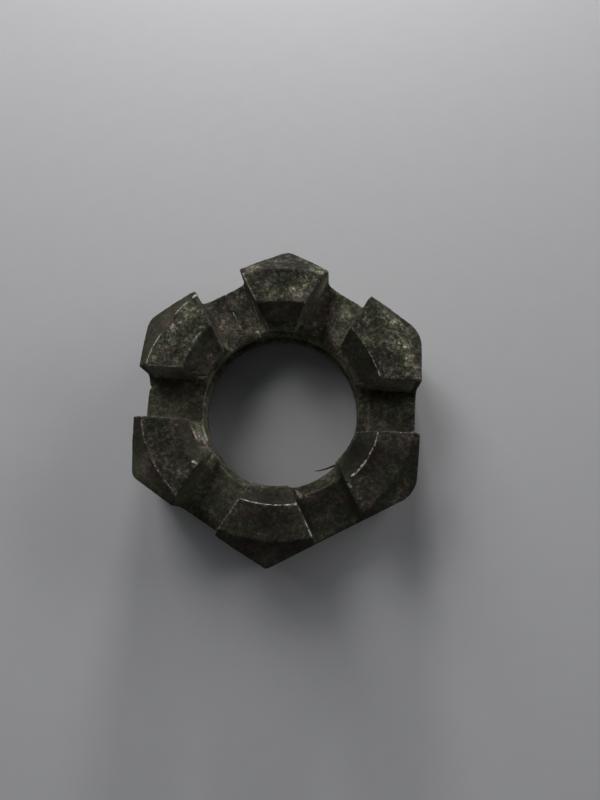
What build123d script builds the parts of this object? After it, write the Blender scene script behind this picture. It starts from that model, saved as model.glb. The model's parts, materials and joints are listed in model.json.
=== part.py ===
from build123d import *
import os
from math import cos, pi, radians, sin, tan

# Hexagon castle nut, one piece of blackened steel, thin pattern, for an M24 x 3 thread.
# The nut lies on its bearing face. The origin is the centre of that face, +Z runs up the thread's axis
# towards the six castellations, and one slot opens along +X. Lengths are in millimetres, angles in degrees.
# The bore is modelled at the thread's minor diameter, as a tapping hole is: the thread form itself is fine detail.

# --- hexagon ---
across_flats = 36.0
bar_offset = (-0.04, 0.15)  # the hexagon bar sat this far off the thread's axis when it was bored
height = 13.4

# --- thread ---
thread_major = 24.0
thread_pitch = 3.0
thread_flank = 60.0  # included angle of the ISO metric profile
thread_engagement = 0.625  # share of the sharp V's height that the internal thread keeps

# --- crown: six slots, milled in three passes straight across the nut ---
slot_width = 6.45
slot_depth = 6.75
slot_root_radius = 1.3  # left by the rounded corners of the cutter
# The first runs along X, and each next one is a step further round. The cutter ran this far left of the thread's
# axis, and this many degrees anticlockwise of its true direction.
slot_passes = ((0.29, -0.2), (0.58, 0.75), (0.0, -0.3))

# --- turned faces ---
crown_circle = 34.55  # diameter of the flat crown inside the outer chamfer
crown_chamfer_angle = 40.0  # measured from the crown's face
bearing_circle = 34.2  # diameter of the flat bearing face
bearing_chamfer_angle = 30.0
mouth_diameter = 25.95  # the countersink in the crown
mouth_half_angle = 45.0  # measured from the axis
crown_offset = (0.19, 0.09)  # the crown's chamfer and countersink were turned this far off the thread's axis
foot_mouth_diameter = 25.4  # the shallow countersink in the bearing face
foot_mouth_half_angle = 60.0

# --- wear: each corner of the hexagon is rounded by a different amount ---
corner_wear = {30: 3.0, 90: 1.2, 150: 2.0, 210: 1.2, 270: 0.5, 330: 3.2}

# Every cutter runs this far past the part, so that no cut ends on a face.
overrun = 2.0

# --- sizes that follow ---
thread_height = thread_pitch / 2 / tan(radians(thread_flank / 2))
thread_minor = thread_major - 2 * thread_engagement * thread_height
across_corners = across_flats / cos(pi / 6)
pass_step = 180 / len(slot_passes)
slot_floor = height - slot_depth
mouth_drop = (mouth_diameter - thread_minor) / 2 / tan(radians(mouth_half_angle))
foot_mouth_rise = (foot_mouth_diameter - thread_minor) / 2 / tan(radians(foot_mouth_half_angle))


def worn_hexagon():
    """The bar the nut is cut from: a hexagon with corners at 30, 90 ... degrees, each with its own rounding."""
    hexagon = RegularPolygon(across_flats / 2, 6, major_radius=False, rotation=30)
    for angle, radius in corner_wear.items():
        corner = Vector(cos(radians(angle)), sin(radians(angle))) * across_corners / 2
        nearest = hexagon.vertices().sort_by_distance(corner)[0]
        hexagon = fillet(nearest, radius)
    return Pos(*bar_offset) * extrude(hexagon, height)


def turned(*profile):
    """A solid of revolution about +Z from a closed half section given as (radius, height) points."""
    return revolve(Plane.XZ * make_face(Polyline(*profile, close=True)), Axis.Z)


def bearing_end():
    """What the lathe leaves below: a round bearing face with a cone up towards the corners."""
    reach = across_corners / 2 + overrun
    rise = (reach - bearing_circle / 2) * tan(radians(bearing_chamfer_angle))
    top = height + overrun
    return turned((0, 0), (bearing_circle / 2, 0), (reach, rise), (reach, top), (0, top))


def crown_end():
    """What the lathe leaves above: a flat crown with a cone down towards the corners, slightly off centre."""
    reach = across_corners / 2 + overrun
    drop = (reach - crown_circle / 2) * tan(radians(crown_chamfer_angle))
    end = turned((0, -overrun), (reach, -overrun), (reach, height - drop), (crown_circle / 2, height), (0, height))
    return Pos(*crown_offset) * end


def bore():
    """The tapping hole, with the shallow countersink of the bearing face."""
    minor = thread_minor / 2
    run = overrun * tan(radians(foot_mouth_half_angle))
    top = height + overrun
    return turned(
        (0, -overrun),
        (foot_mouth_diameter / 2 + run, -overrun),
        (minor, foot_mouth_rise),
        (minor, top),
        (0, top),
    )


def mouth():
    """The countersink of the crown, turned in one go with its chamfer and so off centre with it."""
    slope = tan(radians(mouth_half_angle))
    radius = mouth_diameter / 2
    top = height + overrun
    return Pos(*crown_offset) * turned((0, height - radius / slope), (radius + overrun * slope, top), (0, top))


def slot_pass(drift, skew):
    """One pass of the slot cutter along X, right across the nut: flat floor, straight walls, rounded roots."""
    half = slot_width / 2
    top = height + overrun
    outline = Polyline((-half, top), (-half, slot_floor), (half, slot_floor), (half, top), close=True)
    section = make_face(outline)
    roots = section.vertices().group_by(Axis.Y)[0]
    section = fillet(roots, slot_root_radius)
    cut = extrude(Plane.YZ * section, across_corners / 2 + overrun, both=True)
    return Pos(0, drift, 0) * Rot(0, 0, skew) * cut


def castle_nut():
    nut = worn_hexagon() & bearing_end() & crown_end()
    nut -= bore() + mouth()
    for step, (drift, skew) in enumerate(slot_passes):
        nut -= Rot(0, 0, step * pass_step) * slot_pass(drift, skew)
    return nut


os.makedirs("parts", exist_ok=True)
nut = castle_nut()
export_step(nut, "parts/castle_nut.step")
print(f"minor diameter {thread_minor:.3f}, slot floor at {slot_floor:.2f}")
print(f"bore wall from {foot_mouth_rise:.3f} to about {height - mouth_drop:.3f}, volume {nut.volume:.0f} mm3")
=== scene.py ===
# %% [markdown]
# # A worn castle nut
# This file dresses one small machined part: a hexagon nut with six slots across its crown. The packed CAD
# part gives its size and its place, in metres. The nut is then built again as a fine mesh, with the thread,
# the soft edges and the dents that a plain solid leaves out, and it takes the CAD part's place.
# %% Load the packed part
import json
from math import cos, pi, radians, sin, tan

import bmesh
import bpy
import numpy as np
from mathutils import Matrix, Vector


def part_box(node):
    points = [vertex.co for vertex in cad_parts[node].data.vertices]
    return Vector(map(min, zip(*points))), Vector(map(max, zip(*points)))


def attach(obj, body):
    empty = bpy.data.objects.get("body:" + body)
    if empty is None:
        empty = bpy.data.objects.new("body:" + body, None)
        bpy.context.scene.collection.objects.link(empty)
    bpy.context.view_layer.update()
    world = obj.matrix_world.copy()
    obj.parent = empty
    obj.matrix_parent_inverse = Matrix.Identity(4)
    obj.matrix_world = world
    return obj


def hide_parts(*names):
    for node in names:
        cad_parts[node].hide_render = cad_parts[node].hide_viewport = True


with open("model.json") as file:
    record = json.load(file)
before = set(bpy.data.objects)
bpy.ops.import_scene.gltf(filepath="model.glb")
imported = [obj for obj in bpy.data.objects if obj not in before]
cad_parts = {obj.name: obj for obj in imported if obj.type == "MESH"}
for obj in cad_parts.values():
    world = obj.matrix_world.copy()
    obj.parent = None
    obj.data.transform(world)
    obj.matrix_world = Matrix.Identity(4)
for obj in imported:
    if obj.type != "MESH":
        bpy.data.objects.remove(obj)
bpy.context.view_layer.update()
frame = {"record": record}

MM = 0.001  # one millimetre, in Blender's metres

# %% [markdown]
# ## Sizes
# The width across the flats and the height are read from the packed part, and the bore's radius from the
# mount that describes its thread. The other sizes are the maker's, in millimetres, as on a drawing.
# %% The nut's sizes
nut_low, nut_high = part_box("castle_nut")
across_flats = (nut_high.x - nut_low.x) / MM
height = nut_high.z / MM
across_corners = across_flats / cos(pi / 6)
thread_mount = next(m for m in frame["record"]["mounts"] if m["name"] == "thread")
bore_radius = thread_mount["dims"]["r_mm"]

bar_offset = (-0.04, 0.15)  # how far off the thread's axis the hexagon sits
corner_wear = {30: 3.0, 90: 1.2, 150: 2.0, 210: 1.2, 270: 0.5, 330: 3.2}  # each corner's angle and rounding
slot_width, slot_depth, slot_root = 6.45, 6.75, 1.3
slot_floor = height - slot_depth
slot_passes = ((0.29, -0.2), (0.58, 0.75), (0.0, -0.3))  # drift to the left, and turn in degrees
crown_radius, crown_chamfer_angle = 17.275, 40.0
bearing_radius, bearing_chamfer_angle = 17.1, 30.0
mouth_radius, mouth_half_angle = 12.975, 45.0
foot_mouth_radius, foot_mouth_half_angle = 12.7, 60.0
crown_offset = (0.19, 0.09)  # the crown was turned this far off the thread's axis
thread_major, thread_pitch = 24.0, 3.0
overrun = 2.0  # how far each tool runs past the nut, because a cut that ends exactly on a face can fail
tool_reach = across_corners / 2 + overrun
tool_top = height + overrun
print(f"hexagon {across_flats:.2f} across flats, {height:.2f} high, bore {2 * bore_radius:.2f}")

# %% [markdown]
# ## Cutting the nut as a machinist would
# A nut like this starts as hexagon bar. It is slotted with a milling cutter, turned at both ends, bored and
# tapped. The mesh is made the same way: one hexagon, then one cut for each tool, so each surface gets its
# true form. Sharp solids are cheap to cut, so all of this happens before the mesh is made fine.
#
# ### The bar
# Each corner of the hexagon was knocked round by spanners, and each by a different amount, so each upright
# edge gets a bevel of its own. For a round of radius r, that bevel starts r * tan(30 degrees) from the edge.
# %% The hexagon bar with its worn corners
ROUNDING_STEPS = 8  # facets across each rounded edge


def solid_object(bm, name):
    """Closes a bmesh into an object, in millimetres, with its faces pointing outwards."""
    bmesh.ops.remove_doubles(bm, verts=bm.verts[:], dist=1e-5)
    bmesh.ops.recalc_face_normals(bm, faces=bm.faces[:])
    mesh = bpy.data.meshes.new(name)
    bm.to_mesh(mesh)
    bm.free()
    obj = bpy.data.objects.new(name, mesh)
    bpy.context.scene.collection.objects.link(obj)
    return obj


def worn_hexagon():
    """A hexagon with corners at 30, 90 ... degrees, drawn up to the nut's height."""
    bm = bmesh.new()
    bmesh.ops.create_circle(bm, cap_ends=True, segments=6, radius=across_corners / 2)
    lifted = bmesh.ops.extrude_face_region(bm, geom=bm.faces[:])["geom"]
    upper_corners = [part for part in lifted if isinstance(part, bmesh.types.BMVert)]
    bmesh.ops.translate(bm, vec=(0, 0, height), verts=upper_corners)
    bmesh.ops.recalc_face_normals(bm, faces=bm.faces[:])
    for angle, radius in corner_wear.items():
        corner = Vector((cos(radians(angle)), sin(radians(angle)))) * across_corners / 2
        upright = [e for e in bm.edges if abs(e.verts[0].co.z - e.verts[1].co.z) > height / 2]
        edge = min(upright, key=lambda e: (e.verts[0].co.xy - corner).length)
        bmesh.ops.bevel(
            bm, geom=[edge], offset=radius * tan(radians(30)), offset_type="OFFSET",
            segments=ROUNDING_STEPS, profile=0.5, affect="EDGES", material=-1,
        )
    bmesh.ops.translate(bm, vec=(*bar_offset, 0), verts=bm.verts[:])
    return solid_object(bm, "castle_nut_body")


nut = worn_hexagon()
print("bar:", [round(side, 2) for side in nut.dimensions])

# %% [markdown]
# ### How a tool cuts
# A Boolean modifier takes one solid from another, or keeps what they share. Here each tool is a solid of its
# own that is used once: the cut is made part of the mesh, and the tool is thrown away.
# %% One cut with one tool
def bake_modifiers(obj):
    """Replaces the object's mesh by what its modifiers make of it."""
    evaluated = obj.evaluated_get(bpy.context.evaluated_depsgraph_get())
    mesh = bpy.data.meshes.new_from_object(evaluated)
    obj.modifiers.clear()
    obj.data = mesh


def volume(obj):
    """What the mesh encloses, in cubic millimetres."""
    bm = bmesh.new()
    bm.from_mesh(obj.data)
    enclosed = bm.calc_volume()
    bm.free()
    return enclosed


def machine(work, tool, operation):
    """Cuts (DIFFERENCE) or keeps (INTERSECT) with a tool object, which is used up."""
    cut = work.modifiers.new("cut", "BOOLEAN")
    cut.operation, cut.solver, cut.object = operation, "EXACT", tool
    bake_modifiers(work)
    print(f"  {tool.name}: {volume(work):.0f} cubic mm left")
    bpy.data.objects.remove(tool)


print(f"bar: {volume(nut):.0f} cubic mm")

# %% [markdown]
# ### The slots
# One straight pass of the cutter makes two opposite slots, and three passes make all six. A real milling
# cutter has rounded corners, which leave a fillet along the foot of each wall.
# %% Mill the slots
def slot_pass(step):
    """The path of one pass, a long box with rounded lower edges."""
    drift, skew = slot_passes[step]
    bm = bmesh.new()
    size = Matrix.Diagonal((2 * tool_reach, slot_width, tool_top - slot_floor, 1))
    bmesh.ops.create_cube(bm, matrix=Matrix.Translation((0, 0, (tool_top + slot_floor) / 2)) @ size)
    lower = [e for e in bm.edges if max(v.co.z for v in e.verts) < height]
    roots = [e for e in lower if abs(e.verts[0].co.x - e.verts[1].co.x) > slot_width]
    bmesh.ops.bevel(
        bm, geom=roots, offset=slot_root, offset_type="OFFSET",
        segments=ROUNDING_STEPS, profile=0.5, affect="EDGES", material=-1,
    )
    turn = Matrix.Rotation(step * pi / len(slot_passes), 4, "Z")
    lean = Matrix.Rotation(radians(skew), 4, "Z")
    place = turn @ Matrix.Translation((0, drift, 0)) @ lean
    bmesh.ops.transform(bm, matrix=place, verts=bm.verts[:])
    return solid_object(bm, f"slot_pass_{step}")


for step in range(len(slot_passes)):
    machine(nut, slot_pass(step), "DIFFERENCE")
print("slotted bar:", len(nut.data.polygons), "faces")

# %% [markdown]
# ### The turned ends
# A lathe turns the crown's chamfer and its deep countersink in one setting, and the bearing face in another.
# The two settings don't share quite the same centre, so the crown sits a little off the thread's axis. On a
# lathe the tool follows a half section while the work spins, and the spin operator does just that.
# %% Turn both ends, bore and countersink
TURNED_STEPS = 240  # facets in one full turn


def turned(name, profile, centre=(0.0, 0.0)):
    """A lathe-turned solid: a half section of (radius, height) points, axis to axis, spun about the axis."""
    bm = bmesh.new()
    points = [bm.verts.new((radius, 0, level)) for radius, level in profile]
    edges = [bm.edges.new(pair) for pair in zip(points, points[1:])]
    bmesh.ops.spin(
        bm, geom=points + edges, cent=(0, 0, 0), axis=(0, 0, 1), angle=2 * pi, steps=TURNED_STEPS,
        use_merge=True, use_duplicate=False,
    )
    bmesh.ops.translate(bm, vec=(*centre, 0), verts=bm.verts[:])
    return solid_object(bm, name)


crown_slope = tan(radians(crown_chamfer_angle))
bearing_slope = tan(radians(bearing_chamfer_angle))
mouth_slope = tan(radians(mouth_half_angle))
foot_slope = tan(radians(foot_mouth_half_angle))
crown_end = turned(
    "crown_end",
    [(0, -overrun), (tool_reach, -overrun), (tool_reach, height - (tool_reach - crown_radius) * crown_slope),
     (crown_radius - overrun / crown_slope, tool_top), (0, tool_top)],
    crown_offset,
)
bearing_end = turned(
    "bearing_end",
    [(0, -overrun), (bearing_radius - overrun / bearing_slope, -overrun),
     (tool_reach, (tool_reach - bearing_radius) * bearing_slope),
     (tool_reach, tool_top + 1), (0, tool_top + 1)],
)
bore = turned(
    "bore",
    [(0, -overrun), (foot_mouth_radius + overrun * foot_slope, -overrun),
     (bore_radius, (foot_mouth_radius - bore_radius) / foot_slope), (bore_radius, tool_top), (0, tool_top)],
)
mouth = turned(
    "mouth",
    [(0, height - mouth_radius / mouth_slope), (mouth_radius + overrun * mouth_slope, tool_top),
     (0, tool_top)],
    crown_offset,
)
machine(nut, crown_end, "INTERSECT")
machine(nut, bearing_end, "INTERSECT")
machine(nut, bore, "DIFFERENCE")
machine(nut, mouth, "DIFFERENCE")

# %% [markdown]
# ### The thread
# An internal thread is a groove that climbs the bore like a spiral stair. Spinning the groove's section
# while each step also lifts it a little makes that spiral, and cutting with it leaves the thread's ridges.
# %% Tap the bore
STEPS_PER_TURN = 72
groove_start = -2.3  # the groove's level on the +X side, below the nut
groove_overlap = 0.4  # how far the tap reaches into the open bore


def tap():
    """The groove of a right-handed ISO thread, from below the nut to above the countersink."""
    opening_half = 3 / 8 * thread_pitch  # half the groove's width where it opens into the bore
    root_half = thread_pitch / 16  # and at its deepest
    inner, minor, major = bore_radius - groove_overlap, bore_radius, thread_major / 2
    section = [
        (inner, -opening_half), (minor, -opening_half), (major, -root_half),
        (major, root_half), (minor, opening_half), (inner, opening_half),
    ]
    steps = round((height + 2 * thread_pitch) / thread_pitch * STEPS_PER_TURN)
    bm = bmesh.new()
    points = [bm.verts.new((radius, 0, level + groove_start)) for radius, level in section]
    edges = [bm.edges.new(pair) for pair in zip(points, points[1:] + points[:1])]
    bmesh.ops.spin(
        bm, geom=points + edges, cent=(0, 0, 0), axis=(0, 0, 1), angle=2 * pi * steps / STEPS_PER_TURN,
        steps=steps, dvec=(0, 0, thread_pitch / STEPS_PER_TURN), use_merge=False, use_duplicate=False,
    )
    bmesh.ops.holes_fill(bm, edges=[e for e in bm.edges if e.is_boundary])
    print(f"  tap from {min(v.co.z for v in bm.verts):.2f} to {max(v.co.z for v in bm.verts):.2f}")
    return solid_object(bm, "tap")


machine(nut, tap(), "DIFFERENCE")
print("sharp nut:", len(nut.data.polygons), "faces")

# %% [markdown]
# ## From sharp cuts to worn steel
# Every cut so far ends in a perfect edge, and a used nut has none. A voxel remesh turns the solid into an
# even skin of small squares, fine enough to be pushed and rubbed. A little smoothing rounds each edge, and
# two noise fields push the skin in and out by hundredths of a millimetre, as rough handling does.
# %% Remesh and roughen
VOXEL = 0.155  # the side of one square of the skin


def cloud(name, size, depth):
    """A soft three-dimensional noise, with its size in millimetres."""
    noise = bpy.data.textures.new(name, "CLOUDS")
    noise.noise_scale, noise.noise_depth, noise.noise_basis = size, depth, "IMPROVED_PERLIN"
    return noise


def push_by(obj, texture, amount):
    """Moves the skin along its normals by a noise, up to half the amount each way."""
    push = obj.modifiers.new(texture.name, "DISPLACE")
    push.texture, push.texture_coords, push.strength, push.mid_level = texture, "LOCAL", amount, 0.5


skin = nut.modifiers.new("skin", "REMESH")
skin.mode, skin.voxel_size, skin.use_smooth_shade = "VOXEL", VOXEL, True
soften = nut.modifiers.new("soften", "SMOOTH")
soften.factor, soften.iterations = 0.5, 2
push_by(nut, cloud("knocks", size=2.2, depth=1), amount=0.10)
push_by(nut, cloud("pits", size=0.5, depth=2), amount=0.10)
bake_modifiers(nut)
print("skin:", len(nut.data.vertices), "points")

# %% [markdown]
# ### Dents, nicks and burrs
# These are pushed one by one, like strokes of a sculpting brush. A stroke is a short line with a radius and a
# height: points near the line move along their normals, out for a burr and in for a nick. The same strokes
# say where the dark oxide was rubbed off, so each bright edge lies exactly where its burr is.
# %% Strokes along the crown's edges
F, C = slot_floor, height  # the levels of the slot floors and of the crown
strokes = [
    # line of points, radius, height of the push, how bare the steel is there
    ([(-3.55, -12.27, C), (-2.30, -12.61, C), (-0.82, -12.79, C),
      (0.76, -12.81, C), (2.34, -12.69, C), (3.41, -12.46, C)], 0.11, 0.02, 0.82),
    ([(11.46, -6.85, C), (10.68, -7.96, C), (9.86, -8.76, C)], 0.13, 0.03, 1.0),
    ([(12.87, -3.08, C), (12.34, -4.96, C), (11.46, -6.85, C)], 0.11, 0.01, 0.7),
    ([(8.89, 9.99, C), (10.24, 8.29, C)], 0.11, 0.0, 0.5),
    ([(10.24, 8.29, C), (11.46, 6.33, C), (12.68, 3.96, C)], 0.13, 0.02, 0.85),
    ([(-16.90, 4.03, C - 0.2), (-16.34, 5.94, C - 0.2), (-15.48, 7.74, C - 0.15)], 0.16, 0.03, 0.9),
    ([(-13.85, 10.70, C - 0.2), (-13.29, 11.44, C - 0.3), (-12.50, 12.25, C - 0.25)], 0.14, 0.03, 0.8),
    ([(-11.73, 13.07, C - 0.2), (-11.30, 13.60, C - 0.4)], 0.25, 0.04, 1.0),
    ([(-11.28, 6.95, C), (-10.25, 8.33, C)], 0.13, 0.02, 0.7),
    ([(-10.00, 8.90, C), (-9.65, 9.69, C)], 0.16, 0.02, 0.6),
    ([(-16.86, 3.59, C), (-13.14, 3.59, C)], 0.18, 0.02, 0.85),
    ([(-5.78, 16.62, C), (-3.67, 12.93, C)], 0.20, 0.02, 0.95),
    ([(-3.56, -12.15, C), (-4.67, -14.11, C)], 0.11, 0.02, 0.6),
    ([(-4.67, -14.11, C), (-5.79, -16.12, C)], 0.10, 0.0, 0.4),
    ([(3.53, -12.54, C), (4.53, -14.51, C)], 0.10, 0.01, 0.45),
    ([(4.53, -14.51, C), (5.60, -16.68, C)], 0.12, 0.02, 0.75),
    ([(-16.73, -3.43, C), (-16.12, -5.81, C)], 0.13, 0.02, 0.75),
    ([(-16.12, -5.81, C), (-15.13, -7.82, C), (-13.94, -9.61, C), (-11.53, -12.31, C)], 0.11, 0.01, 0.6),
    ([(-16.91, -2.98, C), (-11.86, -2.93, C)], 0.10, 0.01, 0.45),
    ([(-11.54, -4.76, C), (-10.77, -6.22, C), (-9.87, -7.78, C)], 0.12, 0.03, 0.72),
    ([(-9.72, -8.22, C), (-9.22, -8.36, C - 0.2)], 0.18, 0.05, 1.0),
]
print(len(strokes), "strokes along the crown's edges")

# %% Strokes on the crumpled lip left of the bore
strokes += [
    ([(-11.15, -3.10, 11.3), (-10.70, -3.75, 11.0), (-10.05, -4.95, 10.9)], 0.20, 0.10, 1.0),
    ([(-10.60, -3.00, 10.8), (-10.20, -3.75, 10.8), (-9.75, -4.60, 10.7)], 0.22, 0.08, 0.65),
    ([(-10.30, -3.00, 9.6), (-9.75, -3.90, 9.2), (-9.35, -5.00, 9.4), (-9.15, -5.55, 10.3)],
     0.34, 0.10, 1.0),
    ([(-10.20, -3.10, 7.4), (-9.75, -3.90, 7.3), (-9.45, -4.70, 7.5)], 0.45, 0.08, 0.75),
    ([(-10.60, -3.20, 11.2), (-9.70, -4.00, 10.4)], 0.14, -0.12, 0.0),
    ([(-8.60, -6.30, 10.3), (-8.45, -6.80, 7.9), (-8.30, -8.00, 7.2)], 0.15, 0.05, 0.8),
]
print(len(strokes), "strokes with those on the lip")

# %% Strokes in the slots and single knocks
strokes += [
    ([(3.34, -10.30, F), (5.87, -8.96, F), (7.99, -7.01, F)], 0.16, 0.04, 0.5),
    ([(7.33, -7.06, F), (8.03, -6.41, F)], 0.22, 0.08, 0.8),
    ([(2.95, -10.50, 6.9), (3.15, -10.95, 7.0), (3.45, -11.30, 6.9)], 0.32, 0.14, 1.0),
    ([(3.30, -10.20, 6.6), (3.70, -10.60, 6.6)], 0.28, 0.08, 1.0),
    ([(-7.50, 13.34, F), (-6.69, 11.94, F), (-5.87, 10.41, F)], 0.15, 0.04, 0.62),
    ([(-6.30, 13.00, F), (-5.40, 10.40, F)], 0.11, 0.03, 0.40),
    ([(-4.90, 14.90, 7.5), (-3.90, 12.60, 7.0), (-3.40, 10.50, 6.7)], 0.16, 0.04, 0.68),
    ([(5.92, 10.74, F), (6.89, 12.93, F)], 0.16, 0.03, 0.58),
    ([(8.64, 10.02, C), (7.25, 7.55, 10.85)], 0.18, 0.03, 0.6),
    ([(-3.82, 10.69, F), (-3.47, 9.99, F)], 0.20, 0.06, 0.8),
    ([(12.95, 3.52, C), (17.40, 3.39, C)], 0.11, 0.02, 0.5),
    ([(12.99, -3.01, C), (17.25, -2.95, C)], 0.11, 0.01, 0.5),
    ([(17.08, -2.89, C - 0.1), (17.48, -3.11, C - 0.4)], 0.22, 0.22, 0.3),
    ([(13.20, -1.20, F), (15.50, -2.30, F), (16.90, -2.60, F)], 0.12, 0.03, 0.35),
    ([(-10.30, 1.50, F), (-10.38, 0.20, F), (-10.34, -0.90, F)], 0.18, 0.02, 0.6),
    ([(-6.69, -7.93, F), (-4.45, -9.34, F)], 0.25, 0.03, 0.6),
    ([(9.68, -9.91, C), (9.78, -10.16, C)], 0.15, 0.03, 0.8),
    ([(-17.95, 2.15, F), (-17.95, 2.15, F - 0.6)], 0.28, -0.25, 0.0),
    ([(16.23, 9.64, C), (17.03, 9.09, C - 0.4)], 0.55, -0.22, 0.2),
    ([(2.00, 10.80, 9.9), (2.50, 10.60, 9.4)], 0.30, 0.08, 1.0),
]
print(len(strokes), "strokes with those in the slots")

# %% [markdown]
# Bolts that went in askew have rubbed short stretches of the thread's crests. These strokes push nothing,
# and climb the bore with the thread.
# %% Strokes on the thread's crests
rubbed_crests = [
    # first and last angle, and the level of the crest at the first
    (160, 215, 3.53), (172, 212, 0.68), (60, 125, 8.70), (15, 50, 2.22),
]
CREST_STEP = 5  # degrees between the points of such a line
CREST_WIDTH, CREST_BARE = 0.34, 0.62
for start, end, start_level in rubbed_crests:
    crest = []
    for angle in range(start, end + 1, CREST_STEP):
        level = start_level + thread_pitch * (angle - start) / 360
        crest.append((bore_radius * cos(radians(angle)), bore_radius * sin(radians(angle)), level))
    strokes.append((crest, CREST_WIDTH, 0.0, CREST_BARE))
print(len(strokes), "strokes")

# %% [markdown]
# A mesh can hand over all its points at once as a table of numbers, and sums on such a table are far quicker
# than a loop over the points. Each stroke is strongest on its line and fades out over its radius.
# %% Push the skin
def rows_of_three(items, key):
    """The vectors that a mesh keeps under a key, as rows of three numbers."""
    numbers = np.empty(3 * len(items), dtype=np.float32)
    items.foreach_get(key, numbers)
    return numbers.reshape(-1, 3).astype(np.float64)


def points_and_normals(mesh):
    """Where each point of the mesh lies, and which way it faces."""
    return rows_of_three(mesh.vertices, "co"), rows_of_three(mesh.vertex_normals, "vector")


def distance_to_line(points, line):
    """How far each point lies from a line through the given corners."""
    nearest = np.full(len(points), np.inf)
    for start, end in zip(np.array(line[:-1]), np.array(line[1:])):
        run = end - start
        share = np.clip((points - start) @ run / (run @ run), 0, 1)
        nearest = np.minimum(nearest, np.linalg.norm(points - start - share[:, None] * run, axis=1))
    return nearest


def fade(distance, radius, power=2):
    """1 at no distance, and next to nothing from twice the radius; a higher power has a flatter top."""
    return np.exp(-((distance / radius) ** power))


points, normals = points_and_normals(nut.data)
push = np.zeros(len(points))
for line, radius, lift, _ in strokes:
    push += lift * fade(distance_to_line(points, line), radius)
points += push[:, None] * normals
nut.data.vertices.foreach_set("co", points.astype(np.float32).ravel())
nut.data.update()
noticeable = abs(push) > 0.005
print(f"pushed {np.count_nonzero(noticeable)} points by up to {abs(push).max():.2f} mm")

# %% [markdown]
# ### Fewer triangles
# The even skin spends most of its triangles on flat ground. A decimate takes them from there and keeps them
# along the edges and in the thread.
# %% Thin the skin
TRIANGLES = 185_000

thin = nut.modifiers.new("thin", "DECIMATE")
nut.data.calc_loop_triangles()
thin.ratio = TRIANGLES / len(nut.data.loop_triangles)
bake_modifiers(nut)
nut.data.calc_loop_triangles()
print("thinned to", len(nut.data.loop_triangles), "triangles")

# %% [markdown]
# ### Where the steel is bare
# Three numbers are kept on each point for the material to read. The first says how bare the steel is. It
# comes from the strokes, and from how far the point stands out from its neighbours, since hands and spanners
# rub what stands out.
# %% Paint the bare steel
NEIGHBOUR_ROUNDS = 14  # more rounds compare a point with a wider neighbourhood
rub_from, rub_range, rub_most = 0.03, 0.10, 0.45  # height in millimetres where rubbing starts, and its effect
BARE_SPREAD = 1.1  # a stroke's bare line is this many times as wide as its push
SHOWS_BARE = 0.4  # from this value the steel shows as bare


def lay_attribute(mesh, name, values):
    """Stores one number per point under a name that the material can read."""
    layer = mesh.attributes.new(name, "FLOAT", "POINT")
    layer.data.foreach_set("value", values.astype(np.float32))


def stand_out(mesh, points, normals, rounds):
    """How far each point stands out from the average of the points around it, in millimetres."""
    ends = np.empty(2 * len(mesh.edges), dtype=np.int32)
    mesh.edges.foreach_get("vertices", ends)
    pairs = ends.reshape(-1, 2)
    here, there = np.concatenate([pairs, pairs[:, ::-1]]).T
    count = np.maximum(np.bincount(here, minlength=len(points)), 1)
    smooth = points.copy()
    for _ in range(rounds):
        total = [np.bincount(here, smooth[there, axis], len(points)) for axis in range(3)]
        smooth = (smooth + np.stack(total, axis=1) / count[:, None]) / 2
    return ((points - smooth) * normals).sum(axis=1)


points, normals = points_and_normals(nut.data)
proud = stand_out(nut.data, points, normals, NEIGHBOUR_ROUNDS)
bare = np.clip((proud - rub_from) / rub_range, 0, 1) * rub_most
for line, radius, _, strength in strokes:
    bare = np.maximum(bare, strength * fade(distance_to_line(points, line), BARE_SPREAD * radius))
lay_attribute(nut.data, "bare", bare)
print(f"bare steel on {100 * np.mean(bare > SHOWS_BARE):.1f}% of the points")
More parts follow.
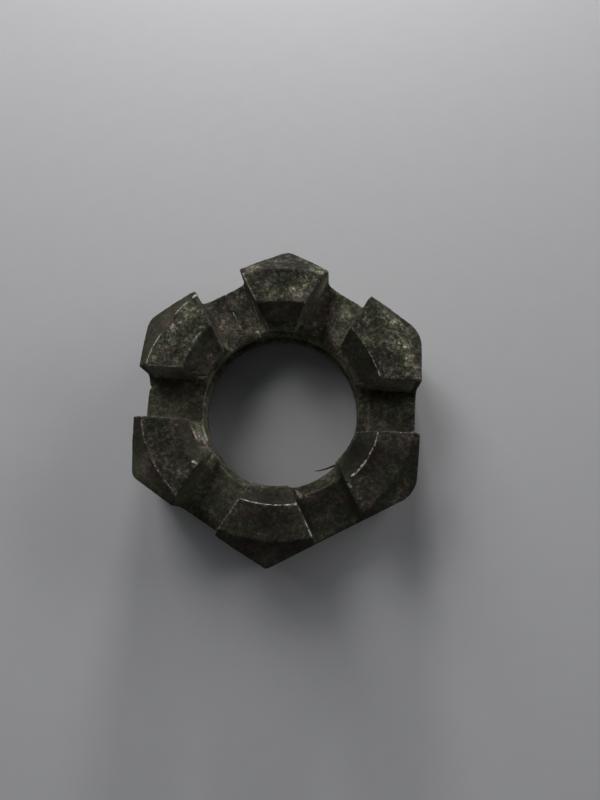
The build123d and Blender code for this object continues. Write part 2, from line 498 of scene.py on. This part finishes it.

# %% [markdown]
# ### Pale and dark regions, with painted light and shade
# The second number is a tint. It holds the oxide's own paler and darker blotches, and also painted light and
# shade:
# slopes, walls and floors are darkened as painted shade where the lamps light them brightly, and brightened
# as painted fill light where they lie in shade. Each patch adds to the tint around its centre and fades out
# over its radius, so a few dozen soft balls colour the whole nut: small ones for single blotches, and large
# ones for whole castellations, slopes and floors.
# %% Patches of tint, some of them painted light and shade
patches = [
    # centre, radius, tint: above zero is paler, below zero is darker
    # blotches on the crown and in the slots
    ((-4.37, 17.19, C), 1.3, 1.0), ((0.53, 14.89, C), 1.9, 0.5), ((2.13, 13.99, C), 1.1, 1.5),
    ((-1.67, 13.89, C), 1.0, 0.6), ((1.53, 16.89, C), 1.6, -0.5), ((-1.67, 16.49, C), 1.2, -0.1),
    ((-12.37, 10.99, C), 1.5, 1.5), ((-14.07, 8.89, C), 1.2, 0.8), ((-15.37, 5.19, C), 1.5, 1.5),
    ((-12.48, 6.10, C), 1.2, -0.8), ((-13.47, 10.19, C), 0.7, -0.3), ((14.73, 10.49, C), 1.6, 0.5),
    ((16.53, 6.29, C), 1.3, 1.0), ((12.53, 10.09, C), 2.4, 0.7), ((13.53, 5.69, C), 1.5, 0.2),
    ((-14.87, -4.31, C), 1.4, -0.4), ((-13.27, -7.91, C), 2.0, -0.4), ((-9.57, -4.51, 10.5), 1.4, 0.8),
    ((14.93, -6.21, C), 1.4, -0.5), ((10.93, -11.11, C), 2.0, 0.4), ((-0.07, -14.91, C), 3.5, -0.5),
    ((-9.27, 14.59, F), 1.2, -0.7), ((-7.07, 13.69, F), 1.0, -0.5), ((-7.67, 10.29, F), 1.6, 0.8),
    ((-4.67, 10.99, F), 1.2, 0.6), ((8.33, 14.29, F), 1.3, 1.0), ((6.73, 10.69, F), 1.5, 0.6),
    ((-14.57, 0.29, F), 3.0, -0.3), ((13.93, 0.29, F), 3.0, -0.4), ((6.43, -11.51, F), 3.0, -0.3),
    ((-6.07, -8.71, F), 1.3, 0.7), ((-6.87, -12.31, F), 1.6, -0.4),
    # the crumpled lip, the bore and the ends of the slots; the large patch on the bore under the +Y
    # castellation and the one on the slot wall at (5.2, 16.4) are painted fill light, as both lie in shade
    ((-10.4, -3.9, 10.8), 0.9, 1.1), ((-9.6, -4.4, 8.5), 1.4, 1.6), ((-9.7, 0.6, F), 0.9, 0.8),
    ((-10.1, 2.4, 5.5), 1.6, 0.9), ((-10.3, -1.2, 4.0), 1.6, 0.9), ((-9.6, -4.5, 4.4), 1.6, 0.9),
    ((-6.9, -8.1, 4.7), 1.5, -0.9), ((0, 10.6, 6), 5, 1.0), ((8.4, 6.4, 5.8), 1.6, 0.9),
    ((10.8, -1, 3.5), 2.8, -1.1), ((5.2, 16.4, 10.5), 2.2, 2.2), ((4.2, -10.8, 6.4), 1.2, 1.0),
    # whole castellations, their slopes, and slot floors: the castellations at -Y are darker;
    # the slopes that face +Y, towards the low window, get painted shade, and most slopes in shade get painted
    # fill light;
    # the floors are partly their own tone and partly painted fill light where the walls shade them
    ((0, -15, C), 5, -0.6), ((13, -7.5, C), 5, -0.8), ((-13, -7.5, C), 4.5, -0.15),
    ((-13, 7.5, C), 5, 0.3), ((0, 18.6, C - 1), 2.2, -1.1), ((0, -11.6, 12), 2.2, -1.1),
    ((10, -5.8, 12), 2.4, -1.6), ((0, 11.8, 12), 2.2, 1.3), ((-10, 5.8, 12), 2.4, 0.8),
    ((-16.5, -9.5, 12), 2.5, 1.9), ((0, -18.8, C - 1.5), 2.5, 1.1), ((15.8, -9.5, 12), 2.5, 0.7),
    ((10, 5.8, 12), 2.4, -0.4), ((14, 0, F), 4, 1.3), ((7, 12, F), 4, 1.1), ((-14, 0, F), 4, 2.1),
    ((-7, -12, F), 4, 1.8), ((7, -12, F), 4, -0.4), ((-7, 12, F), 4, 0.8),
]
tone_and_painted_light = np.zeros(len(points))
for centre, radius, amount in patches:
    tone_and_painted_light += amount * fade(np.linalg.norm(points - np.array(centre), axis=1), radius)
print(len(patches), "patches of tint")

# %% [markdown]
# The bore's wall and the slot walls that face -Y, away from the windows, lie in shade, and are brightened
# here as painted fill light. They are picked by where they lie and which way they face. The sloping and
# upright faces are
# picked first: near-level ground has a normal whose Z is close to 1.
# %% Painted fill light on the bore and the slot walls
LEVEL_GROUND, SLOPE_RANGE = 0.93, 0.12  # the normal's Z on level ground, and how softly that ends
UPRIGHT = 0.5  # the normal's Z on an upright wall is less than this
MOTTLED_FROM, MOTTLED_TO = -40, 125  # azimuths between which the chamfer is as mottled as the crown
BORE_REACH, BORE_TOP = 12.1, 11  # the thread lies within this radius and below this level
WALL_START, WALL_END = 10.8, 17.6  # radii between which the slots have walls
# painted fill light: how much the shaded bore and the shaded slot walls are brightened
BORE_PAINTED_FILL, WALL_PAINTED_FILL = 1.5, 2.2
TINT_LOWEST, TINT_HIGHEST = -2.0, 2.4

upward = normals[:, 2]
reach_out = np.hypot(points[:, 0], points[:, 1])
azimuth = np.degrees(np.arctan2(points[:, 1], points[:, 0]))
sloping = np.clip((LEVEL_GROUND - upward) / SLOPE_RANGE, 0, 1)
mottled_chamfer = (reach_out > crown_radius - 1) & (upward > UPRIGHT)
mottled_chamfer &= (azimuth > MOTTLED_FROM) & (azimuth < MOTTLED_TO)
sloping[mottled_chamfer] = 0

in_bore = (reach_out < BORE_REACH) & (points[:, 2] < BORE_TOP)
# painted fill light in the bore, and on the slot walls that face -Y, away from the windows
tone_and_painted_light += BORE_PAINTED_FILL * in_bore * sloping
slot_wall = (abs(upward) < UPRIGHT) & (points[:, 2] > slot_floor)
slot_wall &= (reach_out > WALL_START) & (reach_out < WALL_END)
facing_away_from_windows = np.clip(-1.5 * normals[:, 1] - 0.5, 0, 1)  # 1 where a wall faces -Y, 0 where it faces away
tone_and_painted_light += WALL_PAINTED_FILL * slot_wall * facing_away_from_windows
lay_attribute(nut.data, "tone_and_painted_light", np.clip(tone_and_painted_light, TINT_LOWEST, TINT_HIGHEST))
print(f"tint from {tone_and_painted_light.min():.1f} to {tone_and_painted_light.max():.1f}, kept within {TINT_LOWEST} and {TINT_HIGHEST}")

# %% [markdown]
# The third number, calm, says how far the mottle fades out. Sloping faces are plainer than the crown, and so
# are a few of the castellations and floors. A fourth power gives these places an even middle.
# %% Quiet places
SLOPE_CALM = 0.6
quiet_places = [
    # centre, radius, how much the mottle fades
    ((0, -15, C), 5.5, 0.45), ((13, -7.5, C), 5.5, 0.42), ((-13, -7.5, C), 5, 0.25),
    ((14, 0, F), 4.5, 0.35), ((7, 12, F), 4.5, 0.25), ((-7, 12, F), 4.5, 0.15), ((-14, 0, F), 4.5, 0.5),
    ((-7, -12, F), 4.5, 0.45), ((7, -12, F), 4.5, 0.45),
]
calm = SLOPE_CALM * sloping
for centre, radius, amount in quiet_places:
    distance = np.linalg.norm(points - np.array(centre), axis=1)
    calm = np.maximum(calm, amount * fade(distance, radius, power=4))
lay_attribute(nut.data, "calm", calm)
print(f"the mottle fades on {100 * np.mean(calm > 0.1):.0f}% of the points")

# %% [markdown]
# The nut was made in millimetres. Blender's unit is the metre, so the mesh itself is scaled, and the object
# stays unscaled.
# %% Bring the nut to metres
nut.data.transform(Matrix.Diagonal((MM, MM, MM, 1)))
nut.data.shade_smooth()
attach(nut, "root")
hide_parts("castle_nut")
print("nut in metres:", [round(side, 4) for side in nut.dimensions])

# %% [markdown]
# ### The whisker
# One sliver of metal still hangs from the end of a slot into the bore. It is a fine tube along a bent line
# that thins towards its tip, so a curve with a bevel and a radius at each point makes it. It is bright where
# it tore from the slot, and dark towards its tip.
# %% Draw the whisker
whisker_line = [
    # place, radius
    ((8.55, -6.76, 6.55), 0.17), ((7.98, -6.83, 6.72), 0.16), ((7.09, -7.29, 6.78), 0.11),
    ((6.06, -7.71, 6.80), 0.09), ((5.18, -7.89, 6.80), 0.045),
]
WHISKER_ROOT_BARE, WHISKER_FADE = 1.2, 1.1  # how bare it is at its root, and the length that takes off 1
WHISKER_TINT = -0.6

whisker_curve = bpy.data.curves.new("whisker", "CURVE")
whisker_curve.dimensions = "3D"
whisker_curve.bevel_depth, whisker_curve.bevel_resolution = 1.0, 3
whisker_curve.use_fill_caps = True
spline = whisker_curve.splines.new("NURBS")
spline.points.add(len(whisker_line) - 1)
for point, (place, radius) in zip(spline.points, whisker_line):
    point.co = (*place, 1)
    point.radius = radius
spline.order_u, spline.use_endpoint_u, spline.resolution_u = 3, True, 8
drawn = bpy.data.objects.new("whisker_line", whisker_curve)
bpy.context.scene.collection.objects.link(drawn)
evaluated = drawn.evaluated_get(bpy.context.evaluated_depsgraph_get())
whisker_mesh = bpy.data.meshes.new_from_object(evaluated)
bpy.data.objects.remove(drawn)
bm = bmesh.new()
bm.from_mesh(whisker_mesh)
whisker = solid_object(bm, "whisker")
print("whisker:", len(whisker.data.polygons), "faces,", round(volume(whisker), 3), "cubic mm")

# %% Paint the whisker and bring it to metres
whisker_root = whisker_line[0][0]
whisker_points = rows_of_three(whisker.data.vertices, "co")
root_distance = np.linalg.norm(whisker_points - np.array(whisker_root), axis=1)
whisker_bare = np.clip(WHISKER_ROOT_BARE - root_distance / WHISKER_FADE, 0, 1)
lay_attribute(whisker.data, "bare", whisker_bare)
lay_attribute(whisker.data, "tone_and_painted_light", np.full(len(whisker_points), WHISKER_TINT))
lay_attribute(whisker.data, "calm", np.zeros(len(whisker_points)))
whisker.data.transform(Matrix.Diagonal((MM, MM, MM, 1)))
whisker.data.shade_smooth()
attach(whisker, "root")
print(f"whisker bare on {100 * np.mean(whisker_bare > SHOWS_BARE):.0f}% of its points")

# %% [markdown]
# ## Writing a material as maths
# A shader is a net of nodes, and a net is hard to read as code. Here one small class wraps a socket, and
# plus, minus and times each add the Math node that does the work. Any other node comes from one method.
# %% A wire that can be used in sums
class Wire:
    """One output of a node, which can be used in sums."""

    def __init__(self, sheet, socket):
        self.sheet = sheet
        self.socket = socket

    def __add__(self, other):
        return self.sheet.maths("ADD", self, other)

    def __mul__(self, other):
        return self.sheet.maths("MULTIPLY", self, other)

    def __sub__(self, other):
        return self.sheet.maths("SUBTRACT", self, other)

    def __rsub__(self, other):
        return self.sheet.maths("SUBTRACT", other, self)

    __radd__ = __add__
    __rmul__ = __mul__

    def exponent(self):
        """The number e to the power of this."""
        return self.sheet.maths("EXPONENT", self)

    def at_least(self, other):
        """The larger of the two."""
        return self.sheet.maths("MAXIMUM", self, other)

    def at_most(self, other):
        """The smaller of the two."""
        return self.sheet.maths("MINIMUM", self, other)

    def between(self, low, high):
        """0 below low, 1 above high, and a soft step between."""
        inputs = {"Value": self, "From Min": low, "From Max": high}
        return self.sheet.node("ShaderNodeMapRange", {"interpolation_type": "SMOOTHSTEP"}, inputs)


print("a wire knows:", ", ".join(name for name in vars(Wire) if not name.startswith("__")))


# %% The sheet that holds a material's nodes
class Sheet:
    """The node sheet of one material."""

    def __init__(self, name):
        self.material = bpy.data.materials.new(name)
        self.material.use_nodes = True
        self.tree = self.material.node_tree
        self.shader = self.tree.nodes["Principled BSDF"]

    def plug(self, socket, value):
        """Sets a socket, or links a wire to it."""
        if isinstance(value, Wire):
            self.tree.links.new(value.socket, socket)
        else:
            socket.default_value = value

    def node(self, kind, settings=None, inputs=None, output=0):
        """Adds a node: its settings first, then the values or wires of its sockets."""
        node = self.tree.nodes.new(kind)
        for name, value in (settings or {}).items():
            setattr(node, name, value)
        pairs = inputs.items() if isinstance(inputs, dict) else enumerate(inputs or [])
        for name, value in pairs:
            self.plug(node.inputs[name], value)
        return Wire(self, node.outputs[output])

    def maths(self, operation, *values):
        """One Math node."""
        return self.node("ShaderNodeMath", {"operation": operation}, values)

    def scaled(self, vector, factor):
        """A vector or a colour times a number."""
        inputs = {"Vector": vector, "Scale": factor}
        return self.node("ShaderNodeVectorMath", {"operation": "SCALE"}, inputs)

    def millimetres(self):
        """The place on the piece itself, in millimetres."""
        return self.scaled(self.node("ShaderNodeTexCoord", output="Object"), 1 / MM)

    def blend(self, below, above, share):
        """Mixes two colours; share 0 gives the one below."""
        # A Mix node has sockets for every kind of value. Number 0 is the share, and 6 and 7 are the colours.
        inputs = {0: share, 6: below, 7: above}
        return self.node("ShaderNodeMix", {"data_type": "RGBA"}, inputs, output=2)

    def noise(self, where, size, detail, rough):
        """A soft noise between 0 and 1 whose grains are about this many millimetres across."""
        inputs = {"Vector": where, "Scale": 1 / size, "Detail": detail, "Roughness": rough}
        return self.node("ShaderNodeTexNoise", None, inputs)

    def number(self, name):
        """A number painted on the mesh."""
        return self.node("ShaderNodeAttribute", {"attribute_name": name}, output="Fac")


print("a sheet makes:", ", ".join(name for name in vars(Sheet) if not name.startswith("__")))

# %% [markdown]
# ## Blackened steel
# The nut was blackened in hot salts and has lived in oil and dirt since. Its dark oxide wavers between olive
# and brown-violet, and where it has worn thin or holds dust it shows as pale specks and blotches. The bare
# steel of the rubbed edges is bright and metallic.
#
# Three noises of different sizes, added up, say how pale the oxide is. An exponential turns that even
# up and down into rare bright specks on a dark ground, which is how such wear looks. The noises are in the
# piece's own millimetres, so they stay put when the nut turns.
# %% The steel of the nut
brown_oxide, olive_oxide = (0.0308, 0.0212, 0.0184, 1), (0.0264, 0.0275, 0.0169, 1)
brown_wear, olive_wear = (0.375, 0.330, 0.265, 1), (0.350, 0.350, 0.248, 1)
bare_steel = (0.54, 0.52, 0.43, 1)


def blackened_steel():
    """Dark oxide with pale wear, and bright metal where the nut's points say that it is bare."""
    sheet = Sheet("blackened_steel")
    where = sheet.millimetres()
    bare, tone_and_painted_light, calm = sheet.number("bare"), sheet.number("tone_and_painted_light"), sheet.number("calm")

    patch = sheet.noise(where, size=2.1, detail=2, rough=0.6)
    mottle = sheet.noise(where, size=0.58, detail=3, rough=0.65)
    grain = sheet.noise(where, size=0.27, detail=3, rough=0.7)
    hue = sheet.noise(where, size=2.4, detail=4, rough=0.62)
    nibble = sheet.noise(where, size=0.42, detail=3, rough=0.7)

    # how pale the oxide is: about 0 on average, and nearly even where the surface is calm
    level = (patch - 0.5) * 0.50 + (mottle - 0.5) * 0.62 + (grain - 0.5) * 0.56
    level = level * (1 - calm) - calm * 0.03
    # the share of pale wear: 0.077 at level 0, and a factor e more for each ninth that the level rises
    worn = (level * 9).exponent() * 0.077
    greener = hue.between(0.37, 0.56)
    oxide = sheet.blend(brown_oxide, olive_oxide, greener)
    wear = sheet.blend(brown_wear, olive_wear, greener)
    colour = sheet.blend(oxide, wear, worn.at_most(0.9))
    # the tint and the level also make the whole colour brighter or darker; the tint brings in painted light
    # and shade as well as the oxide's own tone
    colour = sheet.scaled(colour, (tone_and_painted_light * 0.6 + level * 3.5 + 0.05).exponent())

    # the bare steel shows from about 0.4 up, with edges that the noise nibbles at
    ragged = (bare * ((nibble - 0.5) * 2.6 + 1)).between(0.36, 0.82)
    colour = sheet.blend(colour, bare_steel, ragged)
    # worn oxide is a little metallic, and bare steel more so, though it is too dull for a mirror
    metal = (worn * 0.4).at_most(0.3).at_least(ragged * 0.55)

    bump_height = mottle * 0.55 + grain * 0.45
    bump_inputs = {"Strength": 0.6, "Distance": 0.09 * MM, "Height": bump_height}
    sheet.plug(sheet.shader.inputs["Base Color"], colour)
    sheet.plug(sheet.shader.inputs["Metallic"], metal)
    sheet.plug(sheet.shader.inputs["Roughness"], 0.78 - ragged * 0.30 + (grain - 0.5) * 0.2)
    sheet.plug(sheet.shader.inputs["Normal"], sheet.node("ShaderNodeBump", None, bump_inputs))
    sheet.shader.inputs["Specular IOR Level"].default_value = 0.13
    return sheet.material


steel = blackened_steel()
for piece in (nut, whisker):
    piece.data.materials.clear()
    piece.data.materials.append(steel)
print("steel:", len(steel.node_tree.nodes), "nodes")

# %% [markdown]
# ## Floor, light and camera
# The nut lies on a plain sheet of white paper, which is never one even white, so a very slight cloudiness
# runs through it.
# %% The paper
half_side = 0.6  # in metres
bm = bmesh.new()
bmesh.ops.create_grid(bm, x_segments=1, y_segments=1, size=half_side)
floor = solid_object(bm, "paper")
sheet = Sheet("paper")
cloudy = sheet.noise(sheet.millimetres(), size=3.0, detail=4, rough=0.6)
paper_colour = sheet.blend((0.70, 0.70, 0.71, 1), (0.74, 0.74, 0.76, 1), cloudy)
sheet.plug(sheet.shader.inputs["Base Color"], paper_colour)
sheet.shader.inputs["Roughness"].default_value = 0.9
floor.data.materials.append(sheet.material)
print("paper in metres:", [round(side, 2) for side in floor.dimensions])

# %% [markdown]
# The light is that of a room by day: a tall window, a low strip of sky, a second window far to the side and
# a pale ceiling. Each is a soft rectangle at its own bearing, and the room gives a faint light all round.
# %% Light
world = bpy.data.worlds.new("room")
bpy.context.scene.world = world
world.use_nodes = True
world.node_tree.nodes["Background"].inputs["Color"].default_value = (0.9, 0.95, 1.0, 1)
world.node_tree.nodes["Background"].inputs["Strength"].default_value = 0.04


def area_light(name, azimuth, elevation, distance, size, power):
    """A soft rectangular light that looks at the nut: degrees, millimetres and watts."""
    lamp = bpy.data.lights.new(name, "AREA")
    lamp.shape, lamp.size, lamp.size_y = "RECTANGLE", size[0] * MM, size[1] * MM
    lamp.energy = power
    obj = bpy.data.objects.new(name, lamp)
    bpy.context.scene.collection.objects.link(obj)
    level = cos(radians(elevation))
    rise = sin(radians(elevation))
    direction = Vector((level * cos(radians(azimuth)), level * sin(radians(azimuth)), rise))
    obj.location = direction * distance * MM
    obj.rotation_euler = (-direction).to_track_quat("-Z", "Y").to_euler()
    obj.visible_camera = False
    print(f"  {name}: {power} W from {distance} mm away")


area_light("low_window", azimuth=91, elevation=13, distance=190, size=(26, 42), power=0.165)
area_light("main_window", azimuth=120, elevation=37, distance=350, size=(146, 214), power=0.325)
area_light("side_window", azimuth=30, elevation=26, distance=800, size=(700, 170), power=1.30)
area_light("ceiling", azimuth=140, elevation=51, distance=800, size=(350, 300), power=0.47)

# %% [markdown]
# The camera looks down on the nut from close by, a little from the front and the right.
# %% Camera
camera_data = bpy.data.cameras.new("camera")
camera_data.lens = 31.24
camera_data.sensor_width = 36.0
camera_data.clip_start, camera_data.clip_end = 0.001, 10
camera = bpy.data.objects.new("camera", camera_data)
bpy.context.scene.collection.objects.link(camera)
camera.location = Vector((7.805, -15.816, 98.0)) * MM
camera.rotation_euler = [radians(angle) for angle in (10.918, 2.577, 3.738)]
bpy.context.scene.camera = camera
bpy.context.scene.view_settings.view_transform = "Standard"
print(f"camera {camera.location.length / MM:.0f} mm from the nut")
